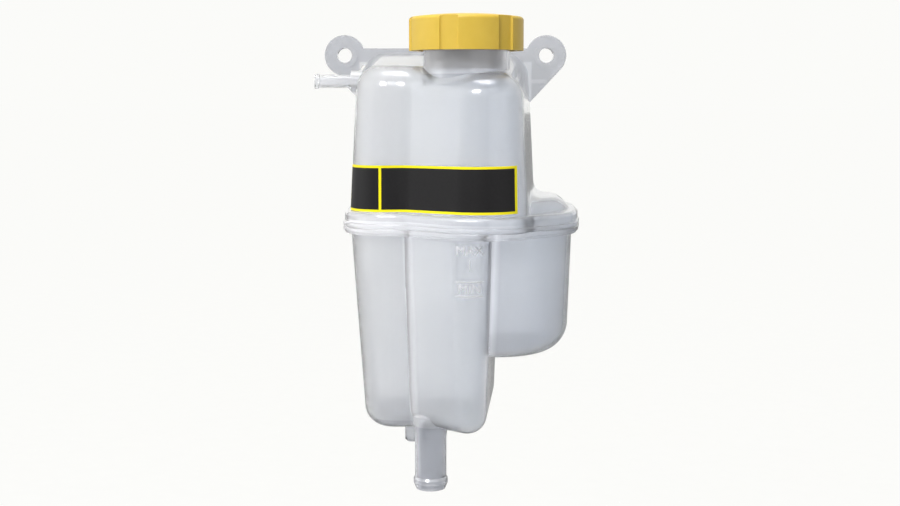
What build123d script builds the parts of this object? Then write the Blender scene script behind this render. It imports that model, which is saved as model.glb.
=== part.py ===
"""Coolant expansion tank: two welded translucent half shells, a screw cap and its pressure valve.

Frame: the origin lies midway between the two ear holes, on the plane that the ears bolt against.
+X runs to the right seen from the front, -Y points to the front and +Z points up. Millimetres.
"""

import os
from math import cos, radians, sin, tan

from build123d import *

# Mounting ears and the web that carries them along the back
ear_pitch = 125.0
ear_hole_d = 9.0
ear_r = 12.5
ear_boss_d = 15.2
ear_boss_front = 2.0
web_t = 4.4
web_back_gap = 2.2
web_top_z = 4.4
web_low_z = -6.0
gusset_low_z = -29.0
gusset_slope = 47.0
gusset_root_x = 48.0
ear_rib_z = -16.0
ear_rib_t = 2.4
ear_rib_depth = 11.0

# Walls and the welded seam
wall = 2.6
seam_z = -100.4
back_gap = 6.0
back_edge_r = 2.5
back_reach = 40.0
off_cut = 500.0
flange_overhang = 4.0
flange_bridge = 26.0
flange_back_gap = 2.0
flange_t = 2.9
flange_edge = 0.7
flange_step_t = 1.3
flange_step_in = 1.1
flange_corner_r = 9.0
plinth_h = 6.0
plinth_in = 0.9
plinth_edge_r = 2.6

# Upper shell, plan sizes at the seam
upper_left_x = -56.3
upper_lobe_y = -77.0
upper_crease_x = -24.0
upper_crease_y = -79.5
upper_nose_x = 14.0
upper_front_y = -106.5
upper_right_front_x = 46.0
upper_right_back_x = 61.0
upper_corner_r = 24.0
upper_crease_r = 14.0
upper_nose_r = 30.0
upper_draft = 2.9
roof_back_z = 2.0
roof_slope = 9.0
roof_edge_r = 15.5

# Right shoulder of the upper shell
shoulder_h = 15.6
shoulder_right_x = 77.0
shoulder_flank_y = -48.0
shoulder_inner_x = 10.0
shoulder_root_x = 37.0
shoulder_root_y = -97.0
shoulder_root_r = 16.0
shoulder_corner_r = 34.0
shoulder_edge_r = 13.4
shoulder_draft = 2.0
shoulder_cove_r = 7.5

# Lower shell: three drafted lobes, plan sizes at the seam
left_x = -56.3
left_front_y = -76.0
left_inner_x = 12.0
left_corner_r = 26.0
left_draft = 4.0
middle_left_x = -25.0
middle_left_y = -78.6
middle_tip_x = 25.3
middle_tip_y = -118.0
middle_right_back_x = 38.9
middle_corner_r = 19.4
middle_nose_r = 15.2
middle_draft = 2.0
middle_depth = 117.8
middle_edge_r = 10.8
right_inner_x = -1.0
right_front_y = -94.0
right_x = 75.2
right_nose_r = 21.5
right_corner_r = 44.0
right_draft = 2.0
left_depth = 122.6
left_edge_r = 13.0
right_depth = 76.0
right_edge_r = 18.0

# Outlet for the bottom hose and the locating peg beside it
outlet_x = -8.6
outlet_y = -75.0
outlet_d = 18.5
outlet_bore_d = 14.0
outlet_length = 32.0
outlet_bead_d = 20.2
outlet_bead_land = 2.4
outlet_bead_slope = 1.4
outlet_tip_d = 17.4
outlet_tip_length = 3.6
collar_d = 21.6
collar_rise = 12.0
collar_drop = 1.0
peg_x = -20.0
peg_y = -36.0
peg_d = 10.0
peg_length = 14.0
peg_chamfer = 1.2

# Bleed nipple on the left side
nipple_y = -35.0
nipple_z = -16.0
nipple_d = 7.6
nipple_bore_d = 4.6
nipple_tip_x = -78.4
nipple_bead_d = 8.8
nipple_bead_land = 2.0
nipple_bead_slope = 1.0
nipple_boss_d = 13.0
nipple_boss_x = -56.5
nipple_root_in = 14.0
nipple_gusset_t = 2.4
nipple_gusset_x = -62.0
nipple_gusset_foot_x = -51.5
nipple_gusset_z = -27.6

# Filler neck
neck_x = 12.2
neck_y = -65.0
neck_d = 50.0
neck_bore_d = 44.0
neck_rim_z = 15.5
neck_low_z = -19.0
thread_pitch = 5.0
thread_depth = 2.0
thread_root_w = 2.4
thread_crest_w = 1.2
thread_low_z = 4.6
neck_thread_turns = 1.6
cap_thread_turns = 1.4
thread_sink = 0.3

# Screw cap
cap_d = 66.0
cap_low_z = 1.3
cap_rim_t = 2.4
cap_crown = 2.2
cap_plate_t = 2.6
cap_edge_r = 2.0
cap_skirt_gap = 1.0
cap_grips = 6
cap_grip_w = 11.0
cap_grip_depth = 1.5
cap_grip_turn = 12.0
cap_grip_corner_r = 1.2
snap_ring_t = 2.4
snap_bead = 0.5
snap_bead_h = 1.2
turn_gap = 0.3

# Valve body that hangs in the neck
insert_gap = 0.4
insert_flange_t = 2.0
insert_flange_out = 0.2
insert_wall = 3.6
insert_depth = 24.5
insert_floor_t = 2.0
insert_snap_hole_d = 33.0
vent_slots = 4
vent_w = 4.0
vent_depth = 0.9
vent_h = 2.0
port_d = 16.0
seat_w = 1.5
seat_h = 0.8
o_ring_d = 1.8
o_ring_gap = 0.2
o_ring_land = 0.3
o_ring_corner = 0.5
o_ring_depths = (14.0, 20.0)

# Spring retainer
retainer_t = 2.0
retainer_depth = 9.0
retainer_gap = 0.2
retainer_ledge = 1.4
retainer_snap = 0.6
retainer_snap_h = 0.9
retainer_holes = 4
retainer_hole_d = 5.0
retainer_hole_ring_d = 28.0
retainer_guide_d = 13.0
retainer_guide_h = 2.4
retainer_bore_d = 8.6

# Pressure plate, seal and spring
plate_d = 25.0
plate_t = 1.5
pressure_seal_t = 1.5
pressure_seal_in = 0.6
hub_d = 9.0
hub_h = 2.2
bleed_holes = 4
bleed_hole_d = 1.6
bleed_ring_d = 6.6
spring_gap = 0.1
wire_sides = 6
pressure_wire_d = 1.5
pressure_coil_d = 18.0
pressure_turns = 3.0

# Vacuum valve
stem_d = 3.2
stem_gap = 0.2
stem_top = 1.0
head_d = 11.0
head_t = 1.5
vacuum_seal_d = 10.0
vacuum_seal_t = 1.4
vacuum_seal_gap = 0.1
vacuum_wire_d = 0.5
vacuum_coil_d = 5.6
vacuum_turns = 3.0
vacuum_spring_h = 4.0
clip_d = 8.0
clip_t = 0.8
clip_groove = 0.4
clip_gap = 0.05

# Film label on the front of the upper shell
label_t = 0.25
label_low_z = -89.7
label_h = 26.7
label_right_x = 40.6
label_wrap_y = -56.0
label_tilt = 0.9

# Worked-out places
back_y = -back_gap
web_back_y = -web_back_gap
ear_x = ear_pitch / 2
gusset_tip_x = ear_x + ear_r * sin(radians(gusset_slope))
gusset_tip_z = -ear_r * cos(radians(gusset_slope))
gusset_foot_x = gusset_tip_x - (gusset_tip_z - gusset_low_z) / tan(radians(gusset_slope))
neck_r = neck_d / 2
thread_r = neck_r + thread_depth
cap_bore_r = thread_r + cap_skirt_gap
deep_low_z = seam_z - left_depth
insert_r = neck_bore_d / 2 - insert_gap
insert_top_z = neck_rim_z + insert_flange_t
insert_low_z = neck_rim_z - insert_depth
insert_bore_r = insert_r - insert_wall
ceiling_z = insert_top_z + turn_gap
retainer_low_z = neck_rim_z - retainer_depth
seat_z = insert_low_z + insert_floor_t + seat_h
plate_low_z = seat_z + pressure_seal_t
plate_top_z = plate_low_z + plate_t
hub_top_z = plate_top_z + hub_h
clip_low_z = hub_top_z + vacuum_spring_h
head_top_z = plate_low_z - vacuum_seal_gap - vacuum_seal_t
clip_bore_r = stem_d / 2 - clip_groove + clip_gap
plinth_top_z = seam_z + flange_t + plinth_h
outlet_low_z = deep_low_z - outlet_length
nipple_root_x = upper_left_x + nipple_root_in
ear_depth = web_back_gap + web_t + ear_boss_front
cap_r = cap_d / 2
cap_rim_z = ceiling_z + cap_rim_t
cap_pocket_z = cap_rim_z + cap_crown - cap_plate_t
crown_r = (cap_r**2 + cap_crown**2) / (2 * cap_crown)
snap_hole_r = insert_snap_hole_d / 2
snap_r = snap_hole_r - turn_gap
snap_top_z = neck_rim_z - turn_gap
snap_low_z = snap_top_z - snap_bead_h
o_ring_inner_r = neck_bore_d / 2 - o_ring_gap - o_ring_d
retainer_seat_r = insert_bore_r + retainer_ledge
neck_line = Axis((neck_x, neck_y, 0), (0, 0, 1))
neck_axis = Plane(origin=(neck_x, neck_y, 0))
neck_axis_half_turn = Plane(origin=(neck_x, neck_y, 0), x_dir=(-1, 0, 0))
neck_section = Plane(origin=(neck_x, neck_y, 0), x_dir=(1, 0, 0), z_dir=(0, -1, 0))
back_plane = Plane(origin=(0, back_y, 0), x_dir=(1, 0, 0), z_dir=(0, 1, 0))

upper_corners = [
    (upper_left_x, back_reach),
    (upper_left_x, upper_lobe_y),
    (upper_crease_x, upper_crease_y),
    (upper_nose_x, upper_front_y),
    (upper_right_front_x, upper_front_y),
    (upper_right_back_x, back_reach),
]
upper_radii = [upper_corner_r, upper_corner_r, upper_crease_r, upper_nose_r, upper_corner_r, upper_corner_r]
shoulder_corners = [
    (shoulder_inner_x, back_reach),
    (shoulder_inner_x, shoulder_root_y),
    (shoulder_root_x, shoulder_root_y),
    (shoulder_right_x, shoulder_flank_y),
    (shoulder_right_x, back_reach),
]
shoulder_radii = [shoulder_root_r] * 3 + [shoulder_corner_r, shoulder_root_r]
left_corners = [
    (left_x, back_reach),
    (left_x, left_front_y),
    (left_inner_x, left_front_y),
    (left_inner_x, back_reach),
]
left_radii = [left_corner_r] * 4
middle_corners = [
    (middle_left_x, back_reach),
    (middle_left_x, middle_left_y),
    (middle_tip_x, middle_tip_y),
    (middle_right_back_x, back_reach),
]
middle_radii = [middle_corner_r, middle_corner_r, middle_nose_r, middle_nose_r]
right_corners = [
    (right_inner_x, back_reach),
    (right_inner_x, right_front_y),
    (right_x, right_front_y),
    (right_x, back_reach),
]
right_radii = [right_nose_r, right_nose_r, right_corner_r, right_nose_r]


def plan(corners, radii, inset):
    """Rounded plan outline at the seam, drawn in by inset."""
    with BuildSketch() as outline:
        with BuildLine():
            FilletPolyline(*corners, radius=radii, close=True)
        make_face()
        if inset:
            offset(amount=-inset, mode=Mode.REPLACE)
    return outline.sketch


def roofed_body(inset):
    """Upper body: its plan drawn up with draft, cut by the sloping roof and rounded along the roof edge."""
    roof = Plane(origin=(0, back_y, roof_back_z - inset), z_dir=(0, -tan(radians(roof_slope)), 1))
    with BuildPart() as body:
        with BuildSketch(Plane.XY.offset(seam_z)):
            add(plan(upper_corners, upper_radii, inset))
        extrude(amount=back_reach - seam_z, taper=upper_draft)
        split(bisect_by=roof, keep=Keep.BOTTOM)
        fillet(body.faces().sort_by(Axis.Z)[-1].edges(), roof_edge_r - inset)
    return body.part


def shoulder_body(inset):
    """Low shoulder beside the upper body, rounded along its top and cut off at the back."""
    with BuildPart() as body:
        with BuildSketch(Plane.XY.offset(seam_z)):
            add(plan(shoulder_corners, shoulder_radii, inset))
        extrude(amount=shoulder_h - inset, taper=shoulder_draft)
        fillet(body.faces().sort_by(Axis.Z)[-1].edges(), shoulder_edge_r - inset)
        split(bisect_by=back_plane.offset(-inset), keep=Keep.BOTTOM)
    return body.part


def hanging_lobe(corners, radii, depth, draft, edge_r, inset):
    """Drafted lobe below the seam with a rounded bottom. It is drawn upwards and then turned over."""
    with BuildPart() as lobe:
        add(plan(corners, radii, inset))
        extrude(amount=depth - inset, taper=draft)
        fillet(lobe.faces().sort_by(Axis.Z)[-1].edges(), edge_r - inset)
        mirror(about=Plane.XY, mode=Mode.REPLACE)
    return lobe.part.moved(Location((0, 0, seam_z)))


def upper_form(inset):
    """Upper shell with its coved shoulder: the outside for no inset, the inside for one wall."""
    body, shoulder = roofed_body(inset), shoulder_body(inset)
    with BuildPart() as form:
        add(body)
        split(bisect_by=back_plane.offset(-inset), keep=Keep.BOTTOM)
        add(shoulder)
        fillet(form.edges(Select.NEW).sort_by(SortBy.LENGTH)[-1], shoulder_cove_r + inset)
    return form.part


def lower_form(inset):
    """Solid inside of the lower shell for an inset of one wall, its outside for none."""
    left = hanging_lobe(left_corners, left_radii, left_depth, left_draft, left_edge_r, inset)
    middle = hanging_lobe(middle_corners, middle_radii, middle_depth, middle_draft, middle_edge_r, inset)
    right = hanging_lobe(right_corners, right_radii, right_depth, right_draft, right_edge_r, inset)
    with BuildPart() as form:
        add(left)
        add(middle)
        add(right)
        split(bisect_by=back_plane.offset(-inset), keep=Keep.BOTTOM)
    return form.part


def flange_plan(inset):
    """Outline of the weld flange. It grows past the creases between the lobes and is drawn back over them."""
    with BuildSketch() as outline:
        add(plan(left_corners, left_radii, 0))
        add(plan(middle_corners, middle_radii, 0))
        add(plan(right_corners, right_radii, 0))
        add(plan(upper_corners, upper_radii, 0))
        add(plan(shoulder_corners, shoulder_radii, 0))
        offset(amount=flange_overhang + flange_bridge, mode=Mode.REPLACE)
        offset(amount=-flange_bridge - inset, mode=Mode.REPLACE)
        with Locations((0, inset - flange_back_gap)):
            Rectangle(off_cut, off_cut, align=(Align.CENTER, Align.MIN), mode=Mode.SUBTRACT)
        corners = outline.vertices().group_by(Axis.Y)[-1]
        fillet(corners, flange_corner_r - inset)
    return outline.sketch


def band(inset, low_z, height, low_edge, high_edge):
    """Slab over the whole plan, outlined like the flange, with its two rims rounded."""
    with BuildPart() as slab:
        with BuildSketch(Plane.XY.offset(low_z)):
            add(flange_plan(inset))
        extrude(amount=height)
        rims = slab.edges().group_by(Axis.Z)
        if low_edge:
            fillet(rims[0], low_edge)
        if high_edge:
            fillet(rims[-1], high_edge)
    return slab.part


def nipple_body():
    """Bleed nipple turned about its own axis: boss at the wall, straight stub and a bead at the tip."""
    axis_plane = Plane(origin=(0, nipple_y, nipple_z), x_dir=(1, 0, 0), z_dir=(0, -1, 0))
    bead_end_x = nipple_tip_x + nipple_bead_land
    with BuildPart() as stub:
        with BuildSketch(axis_plane):
            with BuildLine():
                Polyline(
                    (nipple_root_x, 0),
                    (nipple_tip_x, 0),
                    (nipple_tip_x, nipple_bead_d / 2),
                    (bead_end_x, nipple_bead_d / 2),
                    (bead_end_x + nipple_bead_slope, nipple_d / 2),
                    (nipple_boss_x, nipple_d / 2),
                    (nipple_boss_x, nipple_boss_d / 2),
                    (nipple_root_x, nipple_boss_d / 2),
                    close=True,
                )
            make_face()
        revolve(axis=Axis((0, nipple_y, nipple_z), (1, 0, 0)))
    return stub.part


def outlet_body():
    """Hose outlet turned about its own axis: coned collar, straight stub, bead and tapered tip."""
    axis_plane = Plane(origin=(outlet_x, outlet_y, 0), x_dir=(1, 0, 0), z_dir=(0, -1, 0))
    bead_low_z = outlet_low_z + outlet_tip_length
    bead_high_z = bead_low_z + outlet_bead_land
    with BuildPart() as stub:
        with BuildSketch(axis_plane):
            with BuildLine():
                Polyline(
                    (0, deep_low_z + collar_rise + collar_d / 2),
                    (collar_d / 2, deep_low_z + collar_rise),
                    (outlet_d / 2, deep_low_z - collar_drop),
                    (outlet_d / 2, bead_high_z + outlet_bead_slope),
                    (outlet_bead_d / 2, bead_high_z),
                    (outlet_bead_d / 2, bead_low_z),
                    (outlet_tip_d / 2, outlet_low_z),
                    (0, outlet_low_z),
                    close=True,
                )
            make_face()
        revolve(axis=Axis((outlet_x, outlet_y, 0), (0, 0, 1)))
    return stub.part


def thread_ridge(root_r, height_sign, low_z, turns, axis):
    """Trapezium ridge wound round the neck axis. A sign of 1 points it outwards and -1 inwards."""
    root = root_r - height_sign * thread_sink
    crest = root_r + height_sign * thread_depth
    with BuildPart() as ridge:
        with BuildLine() as path:
            Helix(pitch=thread_pitch, height=turns * thread_pitch, radius=root_r, center=(0, 0, low_z))
        with BuildSketch(Plane(origin=path.line @ 0, x_dir=(1, 0, 0), z_dir=path.line % 0)):
            with BuildLine():
                Polyline(
                    (root - root_r, -thread_root_w / 2),
                    (crest - root_r, -thread_crest_w / 2),
                    (crest - root_r, thread_crest_w / 2),
                    (root - root_r, thread_root_w / 2),
                    close=True,
                )
            make_face()
        sweep(path=path.line, is_frenet=True)
    return axis.from_local_coords(ridge.part)


def coil(mean_r, wire_d, low_z, height, turns):
    """Helical spring of six-sided wire between two heights on the neck axis."""
    rise = height - wire_d
    with BuildPart() as spring:
        with BuildLine() as path:
            Helix(pitch=rise / turns, height=rise, radius=mean_r, center=(0, 0, low_z + wire_d / 2))
        with BuildSketch(Plane(origin=path.line @ 0, x_dir=(1, 0, 0), z_dir=path.line % 0)):
            RegularPolygon(wire_d / 2, wire_sides)
        sweep(path=path.line, is_frenet=True)
    return neck_axis.from_local_coords(spring.part)


os.makedirs("parts", exist_ok=True)

upper_outside, upper_inside = upper_form(0), upper_form(wall)
lower_outside, lower_inside = lower_form(0), lower_form(wall)
label_outside, label_inside = roofed_body(-label_t), roofed_body(0)
plinth_band = band(plinth_in, seam_z, plinth_top_z - seam_z, 0, plinth_edge_r)
upper_flange = band(0, seam_z, flange_t, flange_edge, flange_edge)
lower_flange = band(0, seam_z - flange_t, flange_t, flange_edge, flange_edge)
lower_flange_step = band(flange_step_in, seam_z - flange_t - flange_step_t, flange_step_t, flange_edge, 0)
nipple_stub = nipple_body()
outlet_stub = outlet_body()
neck_thread = thread_ridge(neck_r, 1, thread_low_z, neck_thread_turns, neck_axis)
cap_thread = thread_ridge(cap_bore_r, -1, thread_low_z, cap_thread_turns, neck_axis_half_turn)

# Upper shell: roofed body, plinth, weld flange, ears, bleed nipple and threaded filler neck
with BuildPart() as upper_shell:
    add(upper_outside)
    add(plinth_band)
    add(upper_flange)
    with BuildSketch(Plane.XZ.offset(web_back_gap)):
        with Locations((ear_x, 0), (-ear_x, 0)):
            Circle(ear_r)
        with Locations((0, web_low_z)):
            Rectangle(ear_pitch, web_top_z - web_low_z, align=(Align.CENTER, Align.MIN))
        with BuildLine():
            Polyline(
                (ear_x, 0),
                (gusset_tip_x, gusset_tip_z),
                (gusset_foot_x, gusset_low_z),
                (gusset_root_x, gusset_low_z),
                (gusset_root_x, 0),
                close=True,
            )
        make_face()
    extrude(amount=web_t)
    with BuildSketch(Plane.XZ):
        with Locations((ear_x, 0), (-ear_x, 0)):
            Circle(ear_boss_d / 2)
    extrude(amount=ear_depth)
    with Locations((gusset_root_x, web_back_y, ear_rib_z)):
        Box(ear_x - gusset_root_x, ear_rib_depth, ear_rib_t, align=(Align.MIN, Align.MAX, Align.CENTER))
    add(nipple_stub)
    with BuildSketch(Plane.XZ.offset(-nipple_y)):
        with BuildLine():
            Polyline(
                (nipple_root_x, nipple_z),
                (nipple_gusset_x, nipple_z),
                (nipple_gusset_foot_x, nipple_gusset_z),
                (nipple_root_x, nipple_gusset_z),
                close=True,
            )
        make_face()
    extrude(amount=nipple_gusset_t / 2, both=True)
    add(upper_inside, mode=Mode.SUBTRACT)
    with BuildSketch(neck_axis.offset(neck_low_z)):
        Circle(neck_r)
    extrude(amount=neck_rim_z - neck_low_z)
    add(neck_thread)
    with BuildSketch(neck_axis.offset(neck_low_z)):
        Circle(neck_bore_d / 2)
    extrude(amount=neck_rim_z - neck_low_z, mode=Mode.SUBTRACT)
    with BuildSketch(Plane(origin=(nipple_tip_x, nipple_y, nipple_z), x_dir=(0, 1, 0), z_dir=(1, 0, 0))):
        Circle(nipple_bore_d / 2)
    extrude(amount=nipple_root_x - nipple_tip_x, mode=Mode.SUBTRACT)
    with BuildSketch(Plane.XZ):
        with Locations((ear_x, 0), (-ear_x, 0)):
            Circle(ear_hole_d / 2)
    extrude(amount=ear_depth, mode=Mode.SUBTRACT)
upper_shell.part.label = "upper_shell"
export_step(upper_shell.part, "parts/upper_shell.step")

# Lower shell: three lobes, stepped weld flange, hose outlet and locating peg
with BuildPart() as lower_shell:
    add(lower_outside)
    back_rim = lower_shell.faces().sort_by(Axis.Y)[-1].edges()
    fillet(back_rim.filter_by_position(Axis.Z, deep_low_z, seam_z - back_edge_r), back_edge_r)
    add(lower_flange)
    add(lower_flange_step)
    add(outlet_stub)
    with BuildSketch(Plane(origin=(peg_x, peg_y, deep_low_z + wall))):
        Circle(peg_d / 2)
    extrude(amount=-peg_length - wall)
    chamfer(lower_shell.faces(Select.LAST).sort_by(Axis.Z)[0].edges(), peg_chamfer)
    add(lower_inside, mode=Mode.SUBTRACT)
    with BuildSketch(Plane(origin=(outlet_x, outlet_y, outlet_low_z))):
        Circle(outlet_bore_d / 2)
    extrude(amount=outlet_length + collar_rise, mode=Mode.SUBTRACT)
lower_shell.part.label = "lower_shell"
export_step(lower_shell.part, "parts/lower_shell.step")

# Label: a film that follows the front of the upper body and wraps round its left corner
with BuildPart() as label:
    add(label_outside)
    add(label_inside, mode=Mode.SUBTRACT)
    with Locations(Location((label_right_x, label_wrap_y, label_low_z), (0, -label_tilt, 0))):
        Box(off_cut, off_cut, label_h, align=(Align.MAX, Align.MAX, Align.MIN), mode=Mode.INTERSECT)
label.part.label = "label"
export_step(label.part, "parts/label.step")

# Cap shell: crowned top, grip pads between scallops, thread and the ring that snaps to the valve body
with BuildPart() as cap_shell:
    with BuildSketch(neck_section):
        with BuildLine():
            Polyline(
                (0, cap_rim_z + cap_crown),
                (0, cap_pocket_z),
                (snap_r - snap_ring_t, cap_pocket_z),
                (snap_r - snap_ring_t, snap_low_z),
                (snap_r, snap_low_z),
                (snap_hole_r + snap_bead, snap_top_z),
                (snap_r, snap_top_z),
                (snap_r, ceiling_z),
                (cap_bore_r, ceiling_z),
                (cap_bore_r, cap_low_z),
                (cap_r, cap_low_z),
                (cap_r, cap_rim_z),
            )
            RadiusArc((cap_r, cap_rim_z), (0, cap_rim_z + cap_crown), -crown_r)
        make_face()
        fillet(vertices().group_by(Axis.X)[-1].sort_by(Axis.Y)[-1], cap_edge_r)
    revolve(axis=neck_line)
    with BuildSketch(neck_axis.offset(cap_low_z)):
        with PolarLocations(cap_r, cap_grips, start_angle=cap_grip_turn):
            RectangleRounded(2 * cap_grip_depth, cap_grip_w, cap_grip_corner_r)
    extrude(amount=cap_rim_z + cap_crown, mode=Mode.SUBTRACT)
    add(cap_thread)
cap_shell.part.label = "cap_shell"
export_step(cap_shell.part, "parts/cap_shell.step")

# Valve body: a flanged cup with a seat in its floor, grooves for two rings and vents under its flange
with BuildPart() as valve_body:
    with BuildSketch(neck_section):
        with BuildLine():
            Polyline(
                (snap_hole_r, neck_rim_z),
                (snap_hole_r, insert_top_z),
                (neck_r + insert_flange_out, insert_top_z),
                (neck_r + insert_flange_out, neck_rim_z),
                (insert_r, neck_rim_z),
                (insert_r, insert_low_z),
                (port_d / 2, insert_low_z),
                (port_d / 2, seat_z),
                (port_d / 2 + seat_w, seat_z),
                (port_d / 2 + seat_w, seat_z - seat_h),
                (insert_bore_r, seat_z - seat_h),
                (insert_bore_r, retainer_low_z),
                (retainer_seat_r, retainer_low_z),
                (retainer_seat_r, retainer_low_z + retainer_t),
                (retainer_seat_r - retainer_snap, retainer_low_z + retainer_t),
                (retainer_seat_r, retainer_low_z + retainer_t + retainer_snap_h),
                (retainer_seat_r, neck_rim_z),
                close=True,
            )
        make_face()
        for depth in o_ring_depths:
            with Locations((o_ring_inner_r, neck_rim_z - depth)):
                Rectangle(
                    2 * o_ring_d,
                    o_ring_d + 2 * o_ring_land,
                    align=(Align.MIN, Align.CENTER),
                    mode=Mode.SUBTRACT,
                )
    revolve(axis=neck_line)
    with BuildSketch(neck_axis.offset(neck_rim_z - vent_h)):
        with PolarLocations(neck_r, vent_slots):
            Rectangle(2 * (neck_r - retainer_seat_r), vent_w)
    extrude(amount=vent_h + vent_depth, mode=Mode.SUBTRACT)
valve_body.part.label = "valve_body"
export_step(valve_body.part, "parts/valve_body.step")

# Two rings that seal the valve body in the neck, pressed to a flattened section
for place, depth in zip(("upper", "lower"), o_ring_depths):
    with BuildPart() as o_ring:
        with BuildSketch(neck_section):
            with Locations((o_ring_inner_r, neck_rim_z - depth)):
                Rectangle(o_ring_d, o_ring_d, align=(Align.MIN, Align.CENTER))
            chamfer(vertices(), o_ring_corner)
        revolve(axis=neck_line)
    o_ring.part.label = f"{place}_o_ring"
    export_step(o_ring.part, f"parts/{place}_o_ring.step")

# Spring retainer: a perforated disc with a guide collar, snapped into the valve body
with BuildPart() as spring_retainer:
    with BuildSketch(neck_section):
        with BuildLine():
            Polyline(
                (retainer_bore_d / 2, retainer_low_z - retainer_guide_h),
                (retainer_guide_d / 2, retainer_low_z - retainer_guide_h),
                (retainer_guide_d / 2, retainer_low_z),
                (retainer_seat_r - retainer_gap, retainer_low_z),
                (retainer_seat_r - retainer_gap, retainer_low_z + retainer_t),
                (retainer_bore_d / 2, retainer_low_z + retainer_t),
                close=True,
            )
        make_face()
    revolve(axis=neck_line)
    with BuildSketch(neck_axis.offset(retainer_low_z)):
        with PolarLocations(retainer_hole_ring_d / 2, retainer_holes):
            Circle(retainer_hole_d / 2)
    extrude(amount=retainer_t, mode=Mode.SUBTRACT)
spring_retainer.part.label = "spring_retainer"
export_step(spring_retainer.part, "parts/spring_retainer.step")

# Pressure spring between the plate and the retainer
with BuildPart() as pressure_spring:
    add(coil(pressure_coil_d / 2, pressure_wire_d, plate_top_z + spring_gap,
             retainer_low_z - plate_top_z - 2 * spring_gap, pressure_turns))
pressure_spring.part.label = "pressure_spring"
export_step(pressure_spring.part, "parts/pressure_spring.step")

# Pressure plate with a bored hub and bleed holes for the vacuum valve
with BuildPart() as pressure_plate:
    with BuildSketch(neck_section):
        with BuildLine():
            Polyline(
                (stem_d / 2 + stem_gap, plate_low_z),
                (plate_d / 2, plate_low_z),
                (plate_d / 2, plate_top_z),
                (hub_d / 2, plate_top_z),
                (hub_d / 2, hub_top_z),
                (stem_d / 2 + stem_gap, hub_top_z),
                close=True,
            )
        make_face()
    revolve(axis=neck_line)
    with BuildSketch(neck_axis.offset(plate_low_z)):
        with PolarLocations(bleed_ring_d / 2, bleed_holes):
            Circle(bleed_hole_d / 2)
    extrude(amount=hub_top_z - plate_low_z, mode=Mode.SUBTRACT)
pressure_plate.part.label = "pressure_plate"
export_step(pressure_plate.part, "parts/pressure_plate.step")

# Flat rubber seal bonded under the pressure plate
with BuildPart() as pressure_seal:
    with BuildSketch(neck_axis.offset(seat_z)):
        Circle(plate_d / 2 - pressure_seal_in)
        Circle(port_d / 2 - seat_w, mode=Mode.SUBTRACT)
    extrude(amount=pressure_seal_t)
pressure_seal.part.label = "pressure_seal"
export_step(pressure_seal.part, "parts/pressure_seal.step")

# Vacuum valve: a mushroom whose stem runs up through the hub, grooved for its clip
with BuildPart() as vacuum_valve:
    with BuildSketch(neck_section):
        with BuildLine():
            Polyline(
                (0, head_top_z - head_t),
                (head_d / 2, head_top_z - head_t),
                (head_d / 2, head_top_z),
                (stem_d / 2, head_top_z),
                (stem_d / 2, clip_low_z),
                (stem_d / 2 - clip_groove, clip_low_z),
                (stem_d / 2 - clip_groove, clip_low_z + clip_t),
                (stem_d / 2, clip_low_z + clip_t),
                (stem_d / 2, clip_low_z + clip_t + stem_top),
                (0, clip_low_z + clip_t + stem_top),
                close=True,
            )
        make_face()
    revolve(axis=neck_line)
vacuum_valve.part.label = "vacuum_valve"
export_step(vacuum_valve.part, "parts/vacuum_valve.step")

# Rubber washer on the vacuum valve's head
with BuildPart() as vacuum_seal:
    with BuildSketch(neck_axis.offset(head_top_z)):
        Circle(vacuum_seal_d / 2)
        Circle(stem_d / 2, mode=Mode.SUBTRACT)
    extrude(amount=vacuum_seal_t)
vacuum_seal.part.label = "vacuum_seal"
export_step(vacuum_seal.part, "parts/vacuum_seal.step")

# Light spring that holds the vacuum valve shut
with BuildPart() as vacuum_spring:
    add(coil(vacuum_coil_d / 2, vacuum_wire_d, hub_top_z + spring_gap,
             vacuum_spring_h - 2 * spring_gap, vacuum_turns))
vacuum_spring.part.label = "vacuum_spring"
export_step(vacuum_spring.part, "parts/vacuum_spring.step")

# Clip in the stem's groove, open on one side so that it pushes on
with BuildPart() as vacuum_clip:
    with BuildSketch(neck_axis.offset(clip_low_z)):
        Circle(clip_d / 2)
        Circle(clip_bore_r, mode=Mode.SUBTRACT)
        Rectangle(clip_d, 2 * clip_bore_r, align=(Align.MIN, Align.CENTER), mode=Mode.SUBTRACT)
    extrude(amount=clip_t)
vacuum_clip.part.label = "vacuum_clip"
export_step(vacuum_clip.part, "parts/vacuum_clip.step")
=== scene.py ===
from math import pi, radians

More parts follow.
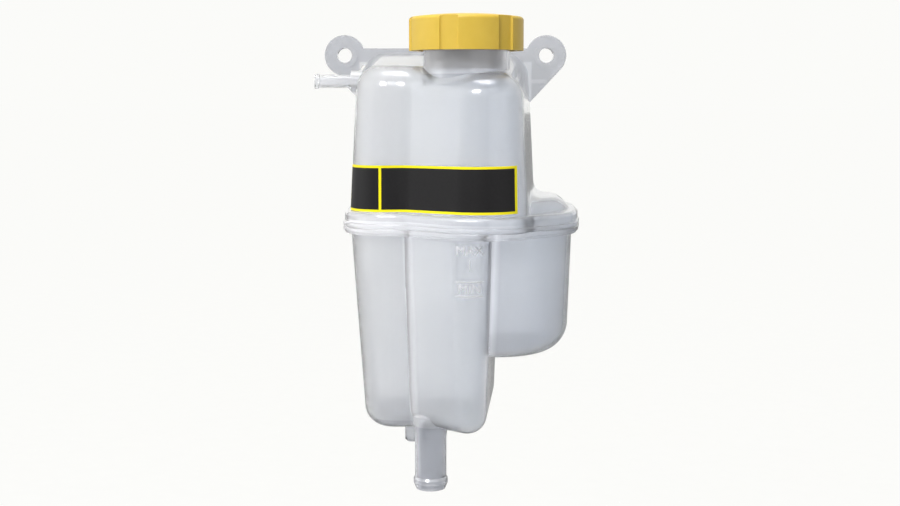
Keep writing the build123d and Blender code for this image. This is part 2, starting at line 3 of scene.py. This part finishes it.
import bpy
import numpy as np
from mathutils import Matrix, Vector


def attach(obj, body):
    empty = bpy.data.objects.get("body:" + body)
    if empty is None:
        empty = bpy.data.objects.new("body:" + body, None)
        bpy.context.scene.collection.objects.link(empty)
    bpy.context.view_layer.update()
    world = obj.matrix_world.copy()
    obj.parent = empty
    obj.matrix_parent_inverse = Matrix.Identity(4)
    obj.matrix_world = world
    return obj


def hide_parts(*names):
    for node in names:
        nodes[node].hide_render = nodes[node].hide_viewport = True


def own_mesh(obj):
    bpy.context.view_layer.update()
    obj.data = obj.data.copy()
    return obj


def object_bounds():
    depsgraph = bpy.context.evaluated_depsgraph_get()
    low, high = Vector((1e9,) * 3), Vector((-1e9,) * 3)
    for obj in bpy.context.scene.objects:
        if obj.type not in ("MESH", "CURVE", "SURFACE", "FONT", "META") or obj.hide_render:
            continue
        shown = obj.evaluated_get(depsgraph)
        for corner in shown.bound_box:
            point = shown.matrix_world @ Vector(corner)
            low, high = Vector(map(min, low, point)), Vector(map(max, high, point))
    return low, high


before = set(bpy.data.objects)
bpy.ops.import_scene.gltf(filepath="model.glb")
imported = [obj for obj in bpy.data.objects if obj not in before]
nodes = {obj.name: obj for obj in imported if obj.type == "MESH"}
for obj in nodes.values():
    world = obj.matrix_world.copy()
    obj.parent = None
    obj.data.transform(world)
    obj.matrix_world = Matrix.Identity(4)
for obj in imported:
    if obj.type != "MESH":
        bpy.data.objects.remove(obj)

cad_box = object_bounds()
scene = bpy.context.scene

# Camera, as the photograph was taken: place, downward tilt in degrees, lens and sensor in millimetres
camera_place = (0.0028, -0.829, -0.020)
camera_tilt = 7.18
camera_lens = 52.4
sensor_width = 36.0
sight_range = (0.01, 100.0)

# Studio: paper-white surroundings that light the tank less than they show. room_lean is how much brighter the
# room is to the right and to the back, and through_light is how bright it looks through the plastic
paper_tone = (0.965, 0.965, 0.945)
room_light = 0.64
room_lean = (-0.15, 0.80)
through_light = 0.93
floor_light = 0.34
floor_seen = 0.98
floor_drop = 0.22
floor_size = 60.0
floor_greys = (0.02, 0.04)

# Soft boxes, which all face the middle of the tank: place, width and height, and power in watts
soft_boxes = {
    "key_box": ((-1.30, -0.20, 0.20), (0.95, 1.50), 3.8),
    "front_box": ((-0.60, -1.20, 0.85), (0.40, 0.30), 20.0),
    "fill_box": ((0.90, -1.20, -0.05), (1.50, 1.50), 4.0),
    "top_box": ((-0.10, -0.20, 1.20), (0.70, 0.40), 6.0),
}

# Middle line of the neck and the cap
neck_axis = Vector((0.0122, -0.065, 0.0))

# Label: its lower right corner, its tilt in degrees, its height, and the border and divider of its print
label_corner = (0.0406, -0.056, -0.0897)
label_tilt = 0.9
label_height = 0.0267
label_border = 0.0014
label_divider_x = -0.0375
label_divider_width = 0.00154

# Springs inside the cap: mean radius, wire radius, lowest and highest point, turns
pressure_coil = (0.009, 0.00075, -0.0031, 0.0064, 3.0)
vacuum_coil = (0.0028, 0.00025, -0.0009, 0.0029, 3.0)
wire_sides = 16
steps_per_turn = 56

# Welded seam, and the creases where the lobes under it meet: each one's place across at the seam, its lean
# per metre down and the half width of its pale strip, which is a painted glow; the weld flange's painted glow
# reaches weld_reach from the seam
seam_z = -0.1004
crease_places = ((-0.0222, 0.035, 0.0034), (0.0286, -0.035, 0.0034))
crease_front_y = -0.055
weld_reach = 0.0044

# Places where the plastic's look changes: the width over which a painted side shade takes it from pale to
# grey, the bounds of the ears and their web and the top of the stubs under the deep lobe, which are painted
# in shade, and the neck's reach, foot and painted glow
shade_span = 0.115
ear_inner_x = 0.0535
ear_front_y = -0.0105
ear_low_z = -0.030
web_low_z = -0.004
stub_top_z = -0.2168
neck_reach = 0.0275
neck_foot_z = -0.012
neck_glow = 0.5

# Plastic's refraction, and the pitch of the lathe rings on the turned valve plates
plastic_ior = 1.49
lathe_pitch = 0.0003

# Level marks on the front of the deep lobe: the middle of each word seen from the front, the word's stem or
# bars, and the share of the letters' relief that is rounded off
mark_x = 0.0138
max_mark_z = -0.1106
min_mark_z = -0.1322
mark_text_size = 0.0074
mark_relief = 0.0003
mark_round_share = 0.3
mark_bar_width = 0.0008
mark_bar_length = 0.0165
mark_bar_offset = 0.00407
mark_stem_length = 0.0070
mark_stem_gap = 0.0007
ridge_steps = 24
ridge_sides = 16
ridge_power = 8

# Net of looks that finds the lobe's front under a mark: counts across and up, and how far in front it starts
net_counts = (25, 5)
net_distance = 0.1


class Value:
    """An output socket in a node tree. Arithmetic on it adds Math nodes to the same tree."""

    def __init__(self, tree, socket):
        self.tree, self.socket = tree, socket

    def out(self, name):
        """Another output of the same node."""
        return Value(self.tree, self.socket.node.outputs[name])

    def math(self, operation, *terms):
        return self.tree.node("ShaderNodeMath", {"operation": operation}, dict(enumerate(terms)))

    def __add__(self, other):
        return self.math("ADD", self, other)

    def __sub__(self, other):
        return self.math("SUBTRACT", self, other)

    def __rsub__(self, other):
        return self.math("SUBTRACT", other, self)

    def __mul__(self, other):
        return self.math("MULTIPLY", self, other)

    def __truediv__(self, other):
        return self.math("DIVIDE", self, other)

    def __rtruediv__(self, other):
        return self.math("DIVIDE", other, self)

    def __lt__(self, other):
        return self.math("LESS_THAN", self, other)

    def __gt__(self, other):
        return self.math("GREATER_THAN", self, other)

    def __abs__(self):
        return self.math("ABSOLUTE", self)

    def __or__(self, other):
        """The greater of two values, which joins two masks."""
        return self.math("MAXIMUM", self, other)

    def root(self):
        return self.math("SQRT", self)

    def sine(self):
        return self.math("SINE", self)

    __radd__, __rmul__, __ror__ = __add__, __mul__, __or__


class Tree:
    """The nodes of a material or a world. node() adds any node: its type, its settings, then the values or
    links of its sockets."""

    def __init__(self, owner):
        owner.use_nodes = True
        self.nodes, self.links = owner.node_tree.nodes, owner.node_tree.links

    def feed(self, node, inputs):
        for name, value in dict(inputs).items():
            if isinstance(value, Value):
                self.links.new(value.socket, node.inputs[name])
            else:
                node.inputs[name].default_value = value

    def node(self, kind, settings=(), inputs=(), output=0):
        made = self.nodes.new(kind)
        for name, value in dict(settings).items():
            setattr(made, name, value)
        self.feed(made, inputs)
        return Value(self, made.outputs[output])

    def axes(self, point):
        split = self.node("ShaderNodeSeparateXYZ", {}, {"Vector": point})
        return split.out("X"), split.out("Y"), split.out("Z")


class Finish(Tree):
    """A material with one shader, and the patterns that its surface is made from."""

    def __init__(self, name):
        self.material = bpy.data.materials.new(name)
        super().__init__(self.material)

    def point(self, kind="POINT", **mapping):
        """Object coordinates in metres, which a Mapping node stretches, centres or turns where asked."""
        place = self.node("ShaderNodeTexCoord", output="Object")
        if not mapping:
            return place
        return self.node("ShaderNodeMapping", {"vector_type": kind}, {"Vector": place, **mapping})

    def neck_radius(self):
        """Distance from the neck's axis, the root of the sum of two squares."""
        across, deep, _ = self.axes(self.point(Location=tuple(-neck_axis)))
        return (across * across + deep * deep).root()

    def noise(self, point, size, detail=3.0):
        """Soft random value about 0.5, with features about as large as size."""
        inputs = {"Vector": point, "Scale": 1 / size, "Detail": detail, "Roughness": 0.55}
        return self.node("ShaderNodeTexNoise", {}, inputs)

    def tint(self, mask, low, high):
        """Colour from low to high as mask goes from 0 to 1."""
        # A Mix node takes its two colours at sockets 6 and 7 and gives their blend at output 2
        colours = [c if isinstance(c, Value) else (*c, 1.0) for c in (low, high)]
        return self.node("ShaderNodeMix", {"data_type": "RGBA"}, {0: mask, 6: colours[0], 7: colours[1]}, 2)

    def bump(self, height, depth):
        """Normal of a surface whose relief is depth times height."""
        return self.node("ShaderNodeBump", {}, {"Strength": 1.0, "Distance": depth, "Height": height})

    def surface(self, **inputs):
        """Sets the shader's sockets, named with underscores, and hands the material back."""
        sockets = {name.replace("_", " "): value for name, value in inputs.items()}
        self.feed(self.nodes["Principled BSDF"], sockets)
        return self.material


def milky_plastic():
    """Translucent natural polypropylene: clouds, long flow lines from moulding and a faint orange peel.
    Relief is peel plus flow, and the gloss is a thin clear skin over a cloudy body.
    Uneven walls show as soft upright bands, and a painted side shade makes the walls paler to the left and
    greyer to the right.
    A painted glow, standing in for light, lies along each crease under the seam, where a strip's strength is
    1 less the distance to the crease over the strip's half width, in a band about the doubled weld flange
    that is brighter to the left, and in the neck.
    The ears and their web, the hose stub and the peg get a painted shade: a greyer colour."""
    shaded_grey_wall, lit_pale_wall, painted_shade_grey = (0.80, 0.828, 0.885), (0.958, 0.97, 1.0), (0.66, 0.675, 0.72)
    dark, glow = (0.0, 0.0, 0.0), (0.10, 0.097, 0.10)
    f = Finish("milky_plastic")
    p = f.point()
    across, deep, up = f.axes(p)
    clouds = f.noise(p, size=0.045, detail=2.0)
    flow = f.noise(f.point(Scale=(1.0, 1.0, 0.06)), size=0.0035, detail=2.0)
    peel = f.noise(p, size=0.0016, detail=2.0)
    walls = f.noise(f.point(Scale=(1.0, 1.0, 0.08)), size=0.016, detail=1.0)
    blotch = clouds * 0.45 + walls * 0.4 + flow * 0.15
    # Painted side shade: the wall colour runs from grey on the right to pale on the left, as the light falls
    left = 0.5 - across / shade_span
    below = (up < seam_z) * (deep < crease_front_y)
    # Painted glow: pale strips along the creases under the seam, a band along the weld flange that is
    # brighter to the left, and the neck
    strips = [1 - abs(across - place - (seam_z - up) * lean) / reach for place, lean, reach in crease_places]
    weld = (abs(up - seam_z) < weld_reach) * left
    neck = (f.neck_radius() < neck_reach) * (up > neck_foot_z) * neck_glow
    painted_glow_mask = (strips[0] | strips[1] | 0.0) * below | weld | neck
    # Painted shade: the ears, their web, the hose stub and the peg are given a greyer base colour
    ears = (abs(across) > ear_inner_x) * (up > ear_low_z) | (up > web_low_z)
    painted_shade_parts = ears * (deep > ear_front_y) | (up < stub_top_z)
    wall_tone_and_shade = f.tint(left + (blotch - 0.5), shaded_grey_wall, lit_pale_wall)
    return f.surface(
        Base_Color=f.tint(painted_shade_parts, wall_tone_and_shade, painted_shade_grey),
        Roughness=0.12 + 0.14 * blotch,
        Normal=f.bump(peel * 0.5 + flow * 0.5, depth=0.00005),
        Emission_Color=f.tint(painted_glow_mask, dark, glow),
        Emission_Strength=1.0,
        IOR=plastic_ior,
        Transmission_Weight=0.85,
        Subsurface_Weight=1.0,
        Subsurface_Radius=(1.0, 1.0, 1.0),
        Subsurface_Scale=0.005,
        Coat_Weight=0.5,
        Coat_Roughness=0.06,
    )


def mark_plastic():
    """Level marks in the tank's own plastic: a thin pale haze over the wall that they stand on."""
    milk, white = (0.95, 0.96, 0.98), (0.99, 0.99, 1.0)
    f = Finish("mark_plastic")
    haze = f.noise(f.point(), size=0.004, detail=2.0)
    return f.surface(
        Base_Color=f.tint(haze, milk, white),
        Roughness=0.45 + 0.1 * haze,
        Specular_IOR_Level=0.2,
        Alpha=0.45 + 0.2 * haze,
    )


def cap_plastic():
    """Golden moulded cap: even pigment with faint swirls, a fine sand grain on every face and sink
    ripples that run up the skirt. Relief is grain plus ripples."""
    deep_gold, bright_gold = (0.61, 0.41, 0.038), (0.73, 0.51, 0.072)
    f = Finish("cap_plastic")
    p = f.point()
    swirl = f.noise(p, size=0.012)
    grain = f.noise(p, size=0.0005, detail=2.0)
    ripple = f.noise(f.point(Scale=(1.0, 1.0, 0.1)), size=0.004, detail=1.0)
    return f.surface(
        Base_Color=f.tint(swirl * 0.8 + grain * 0.2, deep_gold, bright_gold),
        Roughness=0.36 + 0.16 * grain,
        Normal=f.bump(grain * 0.35 + ripple * 0.65, depth=0.00009),
        IOR=plastic_ior,
        Subsurface_Weight=0.12,
        Subsurface_Radius=(1.0, 0.6, 0.2),
        Subsurface_Scale=0.002,
    )


def label_film():
    """Printed film: a black field inside a yellow frame, cut in two by a yellow upright.
    The frame is where the distance to an edge of the film is under the border's width."""
    black, sooty = (0.008, 0.008, 0.009), (0.020, 0.019, 0.020)
    deep_yellow, bright_yellow = (0.86, 0.73, 0.004), (0.97, 0.86, 0.016)
    f = Finish("label_film")
    p = f.point()
    turned = f.point("TEXTURE", Location=label_corner, Rotation=(0, radians(-label_tilt), 0))
    along, back, up = f.axes(turned)
    across, _, _ = f.axes(p)
    ends = (along > -label_border) | (back > -label_border)
    rails = (up < label_border) | (up > label_height - label_border)
    upright = abs(across - label_divider_x) < label_divider_width / 2
    printed = ends | rails | upright
    speckle = f.noise(p, size=0.0006, detail=2.0)
    wrinkle = f.noise(p, size=0.014)
    ink = f.tint(speckle, black, sooty)
    paint = f.tint(speckle, deep_yellow, bright_yellow)
    return f.surface(
        Base_Color=f.tint(printed, ink, paint),
        Roughness=0.34 + 0.12 * wrinkle,
        Normal=f.bump(wrinkle * 0.7 + printed * 0.3, depth=0.00006),
        Specular_IOR_Level=0.2,
    )


def dark_plastic():
    """Black glass-filled valve plastic: sooty tone with pale fibre flecks and a matt, grainy skin."""
    soot, fibre_grey = (0.012, 0.012, 0.014), (0.045, 0.045, 0.048)
    f = Finish("dark_plastic")
    fleck = f.noise(f.point(Scale=(1.0, 1.0, 0.25)), size=0.0007)
    grain = f.noise(f.point(), size=0.0004, detail=2.0)
    return f.surface(
        Base_Color=f.tint(fleck, soot, fibre_grey),
        Roughness=0.42 + 0.22 * grain,
        Normal=f.bump(grain, depth=0.00005),
    )


def seal_rubber():
    """Black sealing rubber: dull, faintly dusty, with a soft pebbled skin."""
    black, dusty = (0.010, 0.010, 0.010), (0.032, 0.031, 0.030)
    f = Finish("seal_rubber")
    p = f.point()
    dust = f.noise(p, size=0.003)
    pebble = f.noise(p, size=0.00035, detail=2.0)
    return f.surface(
        Base_Color=f.tint(dust, black, dusty),
        Roughness=0.62 + 0.22 * dust,
        Normal=f.bump(pebble, depth=0.00003),
    )


def spring_steel():
    """Drawn spring wire: bright steel with fine draw marks and a straw tint in patches."""
    bright, strawy = (0.50, 0.50, 0.50), (0.66, 0.62, 0.55)
    f = Finish("spring_steel")
    p = f.point()
    straw = f.noise(p, size=0.004, detail=2.0)
    draw = f.noise(p, size=0.00018, detail=2.0)
    return f.surface(
        Base_Color=f.tint(straw, bright, strawy),
        Metallic=1.0,
        Roughness=0.18 + 0.20 * draw,
        Normal=f.bump(draw, depth=0.00001),
    )


def valve_brass():
    """Turned brass: lathe rings round the neck's axis, a sine of the radius, with darker tarnish clouds."""
    tarnished, clean = (0.42, 0.26, 0.09), (0.74, 0.53, 0.22)
    f = Finish("valve_brass")
    rings = (f.neck_radius() * (2 * pi / lathe_pitch)).sine()
    tarnish = f.noise(f.point(), size=0.005, detail=4.0)
    return f.surface(
        Base_Color=f.tint(tarnish, tarnished, clean),
        Metallic=1.0,
        Roughness=0.22 + 0.24 * tarnish,
        Normal=f.bump(rings, depth=0.000006),
    )


def paper():
    """Matt paper for the floor. It glows in its own tone, dimly as a light and brightly to the eye."""
    f = Finish("paper")
    fibre = f.noise(f.point(), size=0.02, detail=2.0)
    path = f.node("ShaderNodeLightPath", output="Is Camera Ray")
    seen = path | path.out("Is Transmission Ray") * through_light
    dim, bright = [[tone * level for tone in paper_tone] for level in (floor_light, floor_seen)]
    dark_fibre, pale_fibre = [(grey, grey, grey) for grey in floor_greys]
    return f.surface(
        Base_Color=f.tint(fibre, dark_fibre, pale_fibre),
        Roughness=0.9,
        Specular_IOR_Level=0.0,
        Emission_Color=f.tint(seen, dim, bright),
        Emission_Strength=1.0,
    )


def mesh_piece(name, points, faces, material, body, smooth=True):
    """Puts an array of points and a list of face arrays into a mesh that rides on a body."""
    mesh = bpy.data.meshes.new(name)
    mesh.from_pydata(points.tolist(), [], [face for group in faces for face in group.tolist()])
    mesh.polygons.foreach_set("use_smooth", np.full(len(mesh.polygons), smooth))
    mesh.materials.append(material)
    piece = bpy.data.objects.new(name, mesh)
    scene.collection.objects.link(piece)
    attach(piece, body)
    return piece


def tube_faces(rings, sides):
    """Quads of a tube whose points are numbered ring by ring, and a fan to one more point at each end."""
    around = np.arange(sides)
    after = (around + 1) % sides
    ring = np.arange(rings - 1)[:, None] * sides
    walls = np.stack([ring + around, ring + sides + around, ring + sides + after, ring + after], -1)
    last, tip = (rings - 1) * sides, np.full(sides, rings * sides)
    first_fan = np.stack([tip, around, after], -1)
    last_fan = np.stack([tip + 1, last + after, last + around], -1)
    return [walls.reshape(-1, 4), first_fan, last_fan]


def coil_spring(name, size, material, body):
    """Round wire along a helix. At step s the wire's middle is at angle 2 pi turns s and rises evenly.
    Across it goes a circle of the wire's radius, in the outward way and the way square to it and the wire.
    A fan of faces to the wire's middle closes each end."""
    mean_r, wire_r, low, high, turns = size
    steps = int(turns * steps_per_turn) + 1
    s = np.linspace(0, 1, steps)[:, None]
    turn = np.linspace(0, 2 * pi, wire_sides, endpoint=False)[None, :]
    rise = high - low - 2 * wire_r
    angle = 2 * pi * turns * s
    lean = np.arctan2(rise, 2 * pi * turns * mean_r)
    out = mean_r + wire_r * np.cos(turn)
    over = wire_r * np.sin(turn)
    x = out * np.cos(angle) + over * np.sin(angle) * np.sin(lean)
    y = out * np.sin(angle) - over * np.cos(angle) * np.sin(lean)
    z = low + wire_r + rise * s + over * np.cos(lean)
    wire = np.stack(np.broadcast_arrays(x, y, z), -1)
    ends = wire[[0, -1]].mean(1)
    points = np.vstack([wire.reshape(-1, 3), ends]) + np.array(neck_axis)
    return mesh_piece(name, points, tube_faces(steps, wire_sides), material, body)


def looks(node, starts, way):
    """Where straight looks from an array of starts, all one way, meet a node."""
    flat = starts.reshape(-1, 3)
    return np.array([nodes[node].ray_cast(start, way)[1] for start in flat.tolist()]).reshape(starts.shape)


def blended(net_u, net_v, net, u, v):
    """Values at points u, v of a net that is given over the places net_u and net_v. The four corners of a
    point's cell are blended by the point's shares of the cell."""
    i = np.clip(np.searchsorted(net_u, u) - 1, 0, len(net_u) - 2)
    k = np.clip(np.searchsorted(net_v, v) - 1, 0, len(net_v) - 2)
    s = (u - net_u[i]) / (net_u[i + 1] - net_u[i])
    t = (v - net_v[k]) / (net_v[k + 1] - net_v[k])
    low = net[i, k] * (1 - s) + net[i + 1, k] * s
    high = net[i, k + 1] * (1 - s) + net[i + 1, k + 1] * s
    return low * (1 - t) + high * t


def letters(text):
    """Raised letters as points and triangles, made from a text curve with its relief both ways."""
    curve = bpy.data.curves.new(text, "FONT")
    curve.body, curve.size = text, mark_text_size
    curve.align_x, curve.align_y = "CENTER", "CENTER"
    curve.extrude, curve.bevel_depth = mark_relief * (1 - mark_round_share), mark_relief * mark_round_share
    holder = bpy.data.objects.new(text, curve)
    mesh = bpy.data.meshes.new_from_object(holder)
    points = np.empty(len(mesh.vertices) * 3)
    mesh.vertices.foreach_get("co", points)
    mesh.calc_loop_triangles()
    corners = np.empty(len(mesh.loop_triangles) * 3, int)
    mesh.loop_triangles.foreach_get("vertices", corners)
    bpy.data.objects.remove(holder)
    bpy.data.curves.remove(curve)
    bpy.data.meshes.remove(mesh)
    return points.reshape(-1, 3), [corners.reshape(-1, 3)]


def ridge(length, middle, upright):
    """Rounded bar: an ellipse carried along its length, drawn in to a point at both ends. At share s along
    and angle a across, half width and height follow the root of 1 - (2 s - 1)^ridge_power."""
    along = np.linspace(0, 1, ridge_steps + 1)[1:-1]
    around = np.linspace(0, 2 * pi, ridge_sides, endpoint=False)
    s, a = np.meshgrid(along, around, indexing="ij")
    taper = np.sqrt(1 - (2 * s - 1) ** ridge_power)
    x = mark_bar_width / 2 * np.cos(a) * taper
    lift = mark_relief * np.sin(a) * taper
    tube = np.stack([x, (s - 0.5) * length, lift], -1)
    tips = [[0, -length / 2, 0], [0, length / 2, 0]]
    points = np.vstack([tube.reshape(-1, 3), tips])
    if not upright:
        points = points[:, [1, 0, 2]] * (1, -1, 1)
    return points + (*middle, 0), tube_faces(ridge_steps - 1, ridge_sides)


def level_mark(name, text, z, bars, material):
    """A word and its bars, raised on the round front of the deep lobe. Each flat point x, y, lift goes to
    the lobe's front at x, z + y, and then lift further out to the front."""
    parts = [letters(text), *bars]
    starts = np.cumsum([0] + [len(points) for points, _ in parts[:-1]])
    flat = np.vstack([points for points, _ in parts])
    x, up, lift = mark_x + flat[:, 0], z + flat[:, 1], flat[:, 2]
    net_x, net_z = [np.linspace(v.min(), v.max(), count) for v, count in zip((x, up), net_counts)]
    net = np.stack(np.meshgrid(net_x, cad_box[0].y - net_distance, net_z, indexing="ij"), -1)[:, 0]
    front = looks("lower_shell", net, Vector((0, 1, 0)))[..., 1]
    points = np.stack([x, blended(net_x, net_z, front, x, up) - lift, up], -1)
    faces = [group + start for (_, groups), start in zip(parts, starts) for group in groups]
    mesh_piece(name, points, faces, material, "tank", smooth=False)


def surroundings():
    """Paper-white world that is brighter to the eye than as a light. As a light it is room_light times 1 plus
    room_lean times the direction, so dimmer from the right and from the front, where the room is dark."""
    world = bpy.data.worlds.new("studio")
    scene.world = world
    sky = Tree(world)
    to_right, to_back, _ = sky.axes(sky.node("ShaderNodeTexCoord", output="Generated"))
    path = sky.node("ShaderNodeLightPath", output="Is Transmission Ray")
    lit = room_light * (1 + room_lean[0] * to_right + room_lean[1] * to_back)
    lit = lit + path * (through_light - lit)
    lit = lit + path.out("Is Camera Ray") * (1 - lit)
    sky.feed(sky.nodes["Background"], {"Color": (*paper_tone, 1.0), "Strength": lit})


def paper_floor():
    """One wide flat face, well under the tank, that only sets the stage."""
    half, low = floor_size / 2, cad_box[0].z - floor_drop
    corners = [(-half, -half, low), (half, -half, low), (half, half, low), (-half, half, low)]
    mesh = bpy.data.meshes.new("floor")
    mesh.from_pydata(corners, [], [(0, 1, 2, 3)])
    mesh.materials.append(paper())
    floor = bpy.data.objects.new("floor", mesh)
    scene.collection.objects.link(floor)


def soft_box(name, place, size, power):
    """A rectangular studio light at a place, turned to the tank's middle and hidden from the camera."""
    light = bpy.data.lights.new(name, "AREA")
    light.shape, (light.size, light.size_y), light.energy = "RECTANGLE", size, power
    lamp = bpy.data.objects.new(name, light)
    lamp.location = place
    middle = (cad_box[0] + cad_box[1]) / 2
    lamp.rotation_euler = (middle - Vector(place)).to_track_quat("-Z", "Y").to_euler()
    lamp.visible_camera = False
    scene.collection.objects.link(lamp)


def place_camera():
    """The camera stands upright in front of the tank and is tilted down."""
    camera = bpy.data.cameras.new("camera")
    camera.lens, camera.sensor_width = camera_lens, sensor_width
    camera.clip_start, camera.clip_end = sight_range
    holder = bpy.data.objects.new("camera", camera)
    holder.location = camera_place
    holder.rotation_euler = (radians(90 - camera_tilt), 0, 0)
    scene.collection.objects.link(holder)
    scene.camera = holder


recipes = (milky_plastic, mark_plastic, cap_plastic, label_film,
           dark_plastic, seal_rubber, spring_steel, valve_brass)
finishes = {recipe.__name__: recipe() for recipe in recipes}
worn_by = {
    "milky_plastic": ("upper_shell", "lower_shell"),
    "label_film": ("label",),
    "cap_plastic": ("cap_shell",),
    "dark_plastic": ("valve_body", "spring_retainer"),
    "seal_rubber": ("upper_o_ring", "lower_o_ring", "pressure_seal", "vacuum_seal"),
    "spring_steel": ("pressure_spring", "vacuum_spring", "vacuum_clip"),
    "valve_brass": ("pressure_plate", "vacuum_valve"),
}
for finish, names in worn_by.items():
    for name in names:
        nodes[name].data.materials.clear()
        nodes[name].data.materials.append(finishes[finish])

scene.view_settings.view_transform = "Standard"
place_camera()
surroundings()
paper_floor()
for name, (place, size, power) in soft_boxes.items():
    soft_box(name, place, size, power)

steel = finishes["spring_steel"]
spring = coil_spring("pressure_coil", pressure_coil, steel, "valve_unit")
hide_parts("pressure_spring")
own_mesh(spring)
spring = coil_spring("vacuum_coil", vacuum_coil, steel, "pressure_valve")
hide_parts("vacuum_spring")
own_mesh(spring)

# The stem hangs under the word MAX, and the word MIN stands between two bars
stem_middle = (0, -(mark_text_size / 2 + mark_stem_gap + mark_stem_length / 2))
stem = ridge(mark_stem_length, stem_middle, upright=True)
bars = [ridge(mark_bar_length, (0, offset), upright=False) for offset in (mark_bar_offset, -mark_bar_offset)]
level_mark("max_level_mark", "MAX", max_mark_z, [stem], finishes["mark_plastic"])
level_mark("min_level_mark", "MIN", min_mark_z, bars, finishes["mark_plastic"])
